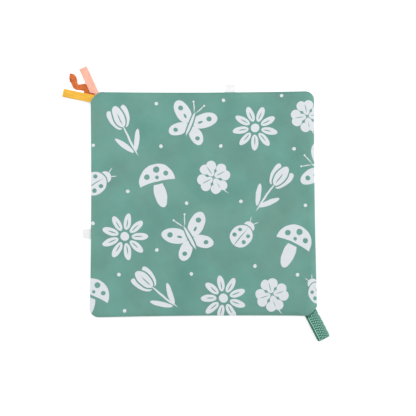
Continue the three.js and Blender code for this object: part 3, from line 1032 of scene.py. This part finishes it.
def tape_rows(place, tag, x, z, columns, skew, shift=0.0, dent=0.0, limit=None):
    """Points of a tape, a row of columns across it for each point of its path. skew turns rows of the root
    parallel to the panel's edge, shift moves rows sideways, dent draws the middle of the tip in, and limit is
    how far each row reaches to the left, for which the tape is gathered in pleats."""
    across = np.linspace(-0.5, 0.5, columns) * tag.width + np.zeros((len(x), 1))
    pleats = 0.0
    if limit is not None:
        squeeze = (limit / tag.width + 0.5)[:, None]
        pleats = PLEAT * (1 - squeeze) * np.cos(PLEATS * math.tau * across / tag.width)
        across = (across + tag.width / 2) * squeeze - tag.width / 2
    plain = np.minimum(x, tag.turn)
    ahead, aside = tag.heading(plain)
    tip = np.exp(-((across / (DENT_REACH * tag.width)) ** 2))
    tip = smoothstep(x, tag.length * DENT_START, tag.length)[:, None] * tip
    y = (tag.sideways(plain) + (x - plain) * aside + shift)[:, None] + across * ahead[:, None]
    out = (plain + (x - plain) * ahead)[:, None] - across * aside[:, None] - dent * tip
    out = out + y * tag.slope * skew[:, None]
    cup = CUP * np.cos(math.tau * across / tag.width) * smoothstep(x, *CUP_START)[:, None]
    return place.world(out, y, z[:, None] + cup + pleats)


def tape_piece(name, tag, plies, half, material, marks=None):
    """A piece of tape from one or more plies, each given as its rows of points and their distances along it.
    half is half the thickness, for the whole piece, each column or each point."""
    columns = plies[0][0].shape[1]
    across = np.linspace(-0.5, 0.5, columns) * tag.width
    rows = np.concatenate([ply for ply, _ in plies])
    along = np.concatenate([distances for _, distances in plies])
    starts = np.cumsum([0] + [len(ply) * columns for ply, _ in plies])
    quads = [strip_quads(len(ply), columns, start) for (ply, _), start in zip(plies, starts)]
    tape = np.stack(np.broadcast_arrays(along[:, None], across), axis=-1).reshape(-1, 2)
    half = np.broadcast_to(half, rows.shape[:2])
    return shell(name, rows.reshape(-1, 3), np.concatenate(quads), half, half, material, tape, marks)


def sew_in(piece, flex, nodes):
    """Bakes a piece of tape's transform into its mesh and hides the CAD parts that it replaces. flex is not
    used.
    """
    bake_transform(piece)
    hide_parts(*nodes)


def beside_yellow(x, skew):
    """How far rows of the pink ribbon reach towards the yellow one, a crevice's width away from it."""
    ribbon = FLEX["pink_ribbon_flex"]
    other = FLEX["yellow_ribbon_flex"]
    line = other.point - other.sideways * (YELLOW_RIBBON.width / 2 + CREVICE) - ribbon.point
    out = other.sideways @ ribbon.outwards
    aside = other.sideways @ ribbon.sideways
    return (line @ other.sideways - x * out) / (aside + PINK_RIBBON.slope * skew * out)


def add_ribbon(name, tag, material, settings, dent, gather=None):
    """A folded ribbon tag in two pieces: its sewn-in root, both plies up to a little short of the ribbon's
    flex line, and its loop beyond it."""
    place = FLEX[f"{name}_flex"]
    inwards = (place.point - CORNER_FLEX.point) @ CORNER_FLEX.outwards + CORNER_GAP
    mouth = -inwards / tag.lean
    x, z, along = tag.path(-(inwards + HEM) / tag.lean, place.point[2], RIBBON_STEP)
    skew = 1 - smoothstep(x, mouth, -BEND_HALF) if mouth < -BEND_HALF else np.zeros_like(x)
    limit = None
    if gather:
        limit = np.clip(gather(x, skew), LEAST_REACH * tag.width, tag.width / 2)
        limit = limit + (tag.width / 2 - limit) * (1 - smoothstep(x - mouth, *GATHER_START))
    rows = tape_rows(place, tag, x, z, RIBBON_COLUMNS, skew, dent=dent, limit=limit)
    cut = int(np.argmin(np.abs(x[: len(x) // 2] + BEND_HALF)))
    last = len(x) - 1 - cut

    woven_edge = smoothstep(np.abs(np.linspace(-1, 1, RIBBON_COLUMNS)), 0.82, 0.95)
    half = tag.tape / 2 + settings.selvedge / 2 * woven_edge
    plies = [(rows[: cut + 1], along[: cut + 1]), (rows[last:], along[last:])]
    root = tape_piece(f"{name}_root_ribbon", tag, plies, half, material)
    plies = [(rows[cut : last + 1], along[cut : last + 1])]
    loop = tape_piece(f"{name}_loop_ribbon", tag, plies, half, material)
    sew_in(root, CORNER_FLEX, (f"{name}_tail", f"{name}_root"))
    sew_in(loop, place, (f"{name}_loop",))


def herringbone(along, across, width, pitch):
    """Height of herringbone ribs, 0 to 1, with a corded selvedge at each side."""
    inner = width / 2 - WEB_SELVEDGE
    place = (across + inner) * WEB_WALES / (2 * inner)
    wale = np.clip(np.floor(place), 0, WEB_WALES - 1)
    local = np.clip(place - wale - 0.5, -0.5, 0.5)
    lean = np.where(wale % 2 == 0, 1.0, -1.0)
    rib = 0.5 + 0.5 * np.cos(math.tau * (along / pitch + lean * local * 0.5 + wale / 2))
    rib = rib * (1 - 0.6 * np.abs(2 * local) ** 6)
    rib = rib * (1 - np.exp(-(((np.abs(across) - inner) / WEB_GROOVE) ** 2)))
    cord_place = 2 * (np.abs(across) - inner) / WEB_SELVEDGE - 1
    cord = np.sqrt(np.clip(1 - cord_place**2, 0, 1)) * (0.8 + 0.2 * np.cos(math.tau * along / pitch))
    return np.where(np.abs(across) > inner, cord, rib)


def lay(piece, node):
    """Attaches a square sheet to the panel's body and hides the CAD part that it replaces."""
    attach(piece, "panel")
    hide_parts(node)


class CRINKLE_OT_covers(bpy.types.Operator):
    """Makes the printed front cover and the plain back cover, each with its rolled edge and hem"""

    bl_idname = "crinkle.covers"
    bl_label = "Covers"

    def execute(self, context):
        settings = context.scene.crinkle_panel.cover
        for word, side, has_print in (("front", 1, True), ("back", -1, False)):
            material = cloth_finish(f"{word} cloth", settings, has_print)
            piece = cover_piece(f"{word}_cover_cloth", side, settings, material)
            lay(piece, f"{word}_cover")
        return {"FINISHED"}


class CRINKLE_OT_films(bpy.types.Operator):
    """Makes the two crumpled films that lie between the covers"""

    bl_idname = "crinkle.films"
    bl_label = "Crinkle films"

    def execute(self, context):
        panel = context.scene.crinkle_panel
        material = film_finish(panel.film)
        for word, side in (("front", 1), ("back", -1)):
            piece = film_piece(f"{word}_film_sheet", side, panel.cover, panel.film, material)
            lay(piece, f"crinkle_film_{word}")
        return {"FINISHED"}


class CRINKLE_OT_seam_thread(bpy.types.Operator):
    """Makes the row of stitches that joins the covers"""

    bl_idname = "crinkle.seam_thread"
    bl_label = "Seam thread"

    def execute(self, context):
        piece = thread_piece(thread_finish(context.scene.crinkle_panel.cover.ground))
        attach(piece, "panel")
        return {"FINISHED"}


class CRINKLE_OT_ribbons(bpy.types.Operator):
    """Makes the pink and the yellow ribbon tag"""

    bl_idname = "crinkle.ribbons"
    bl_label = "Ribbon tags"

    def execute(self, context):
        settings = context.scene.crinkle_panel.ribbon
        pink = ribbon_finish("pink satin", settings.pink, PINK_RIBBON.width)
        yellow = ribbon_finish("yellow satin", settings.yellow, YELLOW_RIBBON.width)
        add_ribbon("pink_ribbon", PINK_RIBBON, pink, settings, PINK_DENT, beside_yellow)
        add_ribbon("yellow_ribbon", YELLOW_RIBBON, yellow, settings, YELLOW_DENT)
        return {"FINISHED"}


class CRINKLE_OT_wavy_trim(bpy.types.Operator):
    """Makes the folded wavy trim under the ribbons"""

    bl_idname = "crinkle.wavy_trim"
    bl_label = "Wavy trim"

    def execute(self, context):
        tag = RUST_TRIM
        place = CORNER_FLEX.moved(TRIM_OFFSET + CORNER_GAP * tag.slope, TRIM_LEVEL).turned(tag.angle)
        x, z, along = tag.path(-(CORNER_GAP + HEM) / tag.lean, place.point[2], TRIM_STEP)
        upper = smoothstep(along / along[-1], 0.46, 0.54)
        run = 1 - smoothstep(x, *TRIM_RUN_END)
        middle, reach = TRIM_TIP
        tip = np.exp(-(((x / tag.length - middle) / reach) ** 2))
        lower_shift = TRIM_LOWER_SHIFT * run * smoothstep(x, *TRIM_LOWER_START) + TRIM_TIP_SHIFT * tip
        shift = (1 - upper) * lower_shift - upper * TRIM_UPPER_SHIFT * run
        skew = np.clip(1 - x / tag.length, 0, 1)
        rows = tape_rows(place, tag, x, z, TRIM_COLUMNS, skew, shift=shift)
        material = trim_finish(context.scene.crinkle_panel.trim, tag.width)
        piece = tape_piece("rust_trim_braid", tag, [(rows, along)], tag.tape / 2, material)
        length = np.linalg.norm(np.diff(rows[:, TRIM_COLUMNS // 2], axis=0), axis=1).sum()
        nodes = ("rust_trim_tail", "rust_trim_loop")
        sew_in(piece, CORNER_FLEX, nodes)
        return {"FINISHED"}


class CRINKLE_OT_webbing_loop(bpy.types.Operator):
    """Makes the woven webbing loop, ribs and all"""

    bl_idname = "crinkle.webbing_loop"
    bl_label = "Webbing loop"

    def execute(self, context):
        settings = context.scene.crinkle_panel.webbing
        tag = WEBBING
        flex = FLEX["webbing_flex"]
        place = flex.turned(tag.angle)
        edge_gap = (2 * tag.tape + TAPE_GAP) / 2 + EDGE_GAP
        x, z, along = tag.path(-(edge_gap + HEM) / tag.lean, place.point[2], WEB_STEP)
        fold = along[x > tag.turn]
        drift = WEB_DRIFT * (smoothstep(along, fold[0], fold[-1]) - 1)
        skew = np.clip(1 - x / tag.length, 0, 1)
        rows = tape_rows(place, tag, x, z, WEB_COLUMNS, skew, shift=drift)
        share = np.linspace(-0.5, 0.5, WEB_COLUMNS)
        nick = WEB_NICK * (0.5 + 0.5 * np.cos(math.pi * along / settings.pitch)) ** 3
        rows = rows - (nick[:, None] * smoothstep(share, 0.3, 0.5))[..., None] * place.sideways
        height = herringbone(along[:, None], share[None, :] * tag.width, tag.width, settings.pitch)
        thick = settings.tape / 2 * np.sqrt(np.clip(1.06 - (2 * share) ** 10, 0.1, 1))
        # Painted shade: dark between the ribs, less of it over the right half, and a painted shadow where the
        # webbing comes out from under the panel's edge
        mouth_shade = 1 - smoothstep(x, *WEB_MOUTH_SHADE)[:, None]
        shade_fading_right = 1 - 0.5 * smoothstep(share, -0.1, 0.4)
        painted_shade = np.maximum(smoothstep(0.74 - height, 0.0, 0.42) * shade_fading_right, 0.85 * mouth_shade)
        material = webbing_finish(settings, tag.width, along[-1])
        piece = tape_piece("webbing_loop_weave", tag, [(rows, along)], thick + settings.rib * (height - 0.25),
                           material, {"painted_shade": painted_shade.ravel()})
        sew_in(piece, flex, ("webbing_tail", "webbing_loop"))
        return {"FINISHED"}


class CRINKLE_OT_label_tabs(bpy.types.Operator):
    """Makes the two bare label tabs"""

    bl_idname = "crinkle.label_tabs"
    bl_label = "Label tabs"

    def execute(self, context):
        settings = context.scene.crinkle_panel.label
        material = label_finish(settings)
        tag = LABEL
        run = np.linspace(-(tag.tape + EDGE_GAP + HEM), tag.length - LABEL_HALF, LABEL_ROWS)
        for name in ("left_label", "top_label"):
            flex = FLEX[f"{name}_flex"]
            drop = (REST_GAP + tag.tape - flex.point[2]) * smoothstep(run / tag.length, *tag.settle)
            x, z, along = folded(run, drop - LABEL_HALF, np.full(LABEL_ROWS, 2 * LABEL_HALF), TIP_POINTS)
            rows = tape_rows(flex, tag, x, z, LABEL_COLUMNS, np.zeros_like(x))
            piece = tape_piece(f"{name}_satin", tag, [(rows, along)], settings.tape / 2, material)
            sew_in(piece, flex, (f"{name}_tail", f"{name}_tab"))
        return {"FINISHED"}


class CRINKLE_OT_stage(bpy.types.Operator):
    """Makes the white floor, the soft lamps, the surrounding light and the camera"""

    bl_idname = "crinkle.stage"
    bl_label = "Stage"

    def execute(self, context):
        scene = context.scene
        settings = scene.crinkle_panel.stage
        scene.view_settings.view_transform = "Standard"
        self.add_floor()
        self.add_surround(scene, settings.sky)
        for name, place, size, watts in LAMPS:
            self.add_lamp(scene, name, place, size, watts * settings.lamp)
        self.add_camera(scene)
        return {"FINISHED"}

    def add_floor(self):
        """White paper, which the camera sees as white also far from the lamps."""
        corners = [(-1, -1), (1, -1), (1, 1), (-1, 1)]
        points = np.array([[FLOOR_REACH * x, FLOOR_REACH * y, FLOOR_Z] for x, y in corners])
        finish = Finish("white paper sweep", {
            "Roughness": 0.9, "Specular IOR Level": 0.1, "Emission Strength": 1.0,
        })
        place = finish.place()
        fibre = finish.noise(place, 40.0, 2.0)
        finish.feed("Base Color", finish.shade((0.86, 0.86, 0.86), 0.985 + fibre * 0.03))
        path = finish.node("LightPath")
        rays = ("Camera", "Glossy", "Transmission")
        shown = larger(*[Value(finish, path.outputs[f"Is {ray} Ray"]) for ray in rays])
        far = finish.length(place).held(0.5, -0.4)
        finish.feed("Emission Color", finish.shade(WHITE, shown * (0.42 + far * 0.3)))
        new_piece("floor", points, np.array([[0, 1, 2, 3]]), finish.material)

    def add_surround(self, scene, strength):
        """Soft light from all round, which the camera sees as white."""
        scene.world = bpy.data.worlds.new("studio surround")
        nodes = Nodes(scene.world)
        soft = nodes.value("Background", {"Color": WHITE, "Strength": strength})
        white = nodes.value("Background", {"Color": WHITE})
        seen = nodes.value("LightPath", output="Is Camera Ray")
        mix = nodes.value("MixShader", {0: seen, 1: soft, 2: white})
        nodes.node("OutputWorld", {"Surface": mix})

    def add_lamp(self, scene, name, place, size, watts):
        """A square softbox that faces the panel's middle."""
        light = bpy.data.lights.new(name, "AREA")
        light.shape = "SQUARE"
        light.size = size
        light.energy = watts
        lamp = bpy.data.objects.new(name, light)
        lamp.location = place
        x, y, z = place
        lamp.rotation_euler = (math.atan2(math.hypot(x, y), z), 0.0, math.atan2(-y, -x) - math.pi / 2)
        scene.collection.objects.link(lamp)

    def add_camera(self, scene):
        camera = bpy.data.objects.new("camera", bpy.data.cameras.new("camera"))
        camera.location = CAMERA_PLACE
        camera.rotation_euler = CAMERA_TURN
        camera.data.sensor_width = 36.0
        camera.data.lens = CAMERA_LENS
        camera.data.clip_start = 0.05
        scene.collection.objects.link(camera)
        scene.camera = camera


OPERATORS = [
    CRINKLE_OT_stage,
    CRINKLE_OT_covers,
    CRINKLE_OT_films,
    CRINKLE_OT_seam_thread,
    CRINKLE_OT_ribbons,
    CRINKLE_OT_wavy_trim,
    CRINKLE_OT_webbing_loop,
    CRINKLE_OT_label_tabs,
]


class CRINKLE_PT_panel(bpy.types.Panel):
    """Lists the pieces of the crinkle panel"""

    bl_idname = "CRINKLE_PT_panel"
    bl_label = "Crinkle Panel"
    bl_space_type = "VIEW_3D"
    bl_region_type = "UI"
    bl_category = "Crinkle Panel"

    def draw(self, context):
        for operator in OPERATORS:
            self.layout.operator(operator.bl_idname)


CLASSES = [
    CoverSettings, FilmSettings, RibbonSettings, TrimSettings, WebbingSettings, LabelSettings, StageSettings,
    PanelSettings, *OPERATORS, CRINKLE_PT_panel,
]


def register():
    for each in CLASSES:
        bpy.utils.register_class(each)
    bpy.types.Scene.crinkle_panel = PointerProperty(type=PanelSettings)


def unregister():
    del bpy.types.Scene.crinkle_panel
    for each in reversed(CLASSES):
        bpy.utils.unregister_class(each)


def main():
    register()
    bpy.ops.crinkle.stage()
    bpy.ops.crinkle.covers()
    bpy.ops.crinkle.films()
    bpy.ops.crinkle.seam_thread()
    bpy.ops.crinkle.ribbons()
    bpy.ops.crinkle.wavy_trim()
    bpy.ops.crinkle.webbing_loop()
    bpy.ops.crinkle.label_tabs()


if __name__ == "__main__":
    main()
